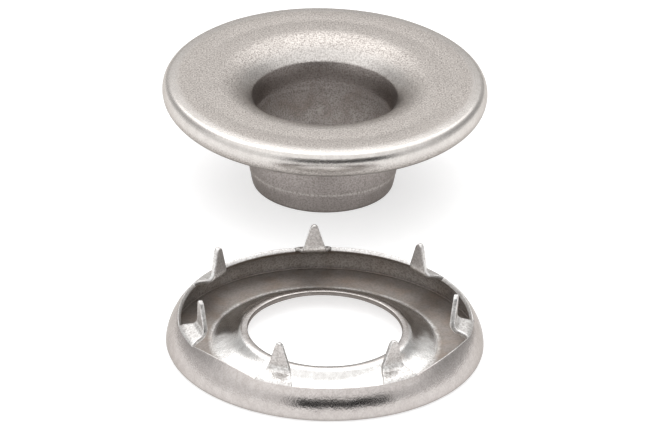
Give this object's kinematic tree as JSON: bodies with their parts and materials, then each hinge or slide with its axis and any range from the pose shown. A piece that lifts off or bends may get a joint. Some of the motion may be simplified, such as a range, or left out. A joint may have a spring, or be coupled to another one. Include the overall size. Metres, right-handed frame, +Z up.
{
  "type": "rolled-rim grommet with spur washer",
  "caption": "Rolled-rim metal grommet standing on its barrel, with its loose dished spur washer lying points up in front, for a reinforced hole in leather, canvas or tarp.",
  "frame": {"origin": "middle of the pair's footprint, on the plane that both pieces rest on", "axes": "+Z up along both pieces' axes, +Y from the washer's axis to the grommet's axis, +X to the right"},
  "size_m": [0.0262, 0.0537, 0.0092],
  "materials": {
    "grommet_metal": "tumbled satin, with a fine grain",
    "washer_metal": "satin, brighter on the dish and at the spur roots"
  },
  "bodies": {
    "washer": {"spur_washer": "washer_metal"},
    "grommet": {"grommet": "grommet_metal"}
  },
  "joints": [
    {"name": "grommet_lift", "type": "slide", "parent": "washer", "child": "grommet", "axis": [0, 0, 1], "range_m": [0, 0.02]}
  ]
}
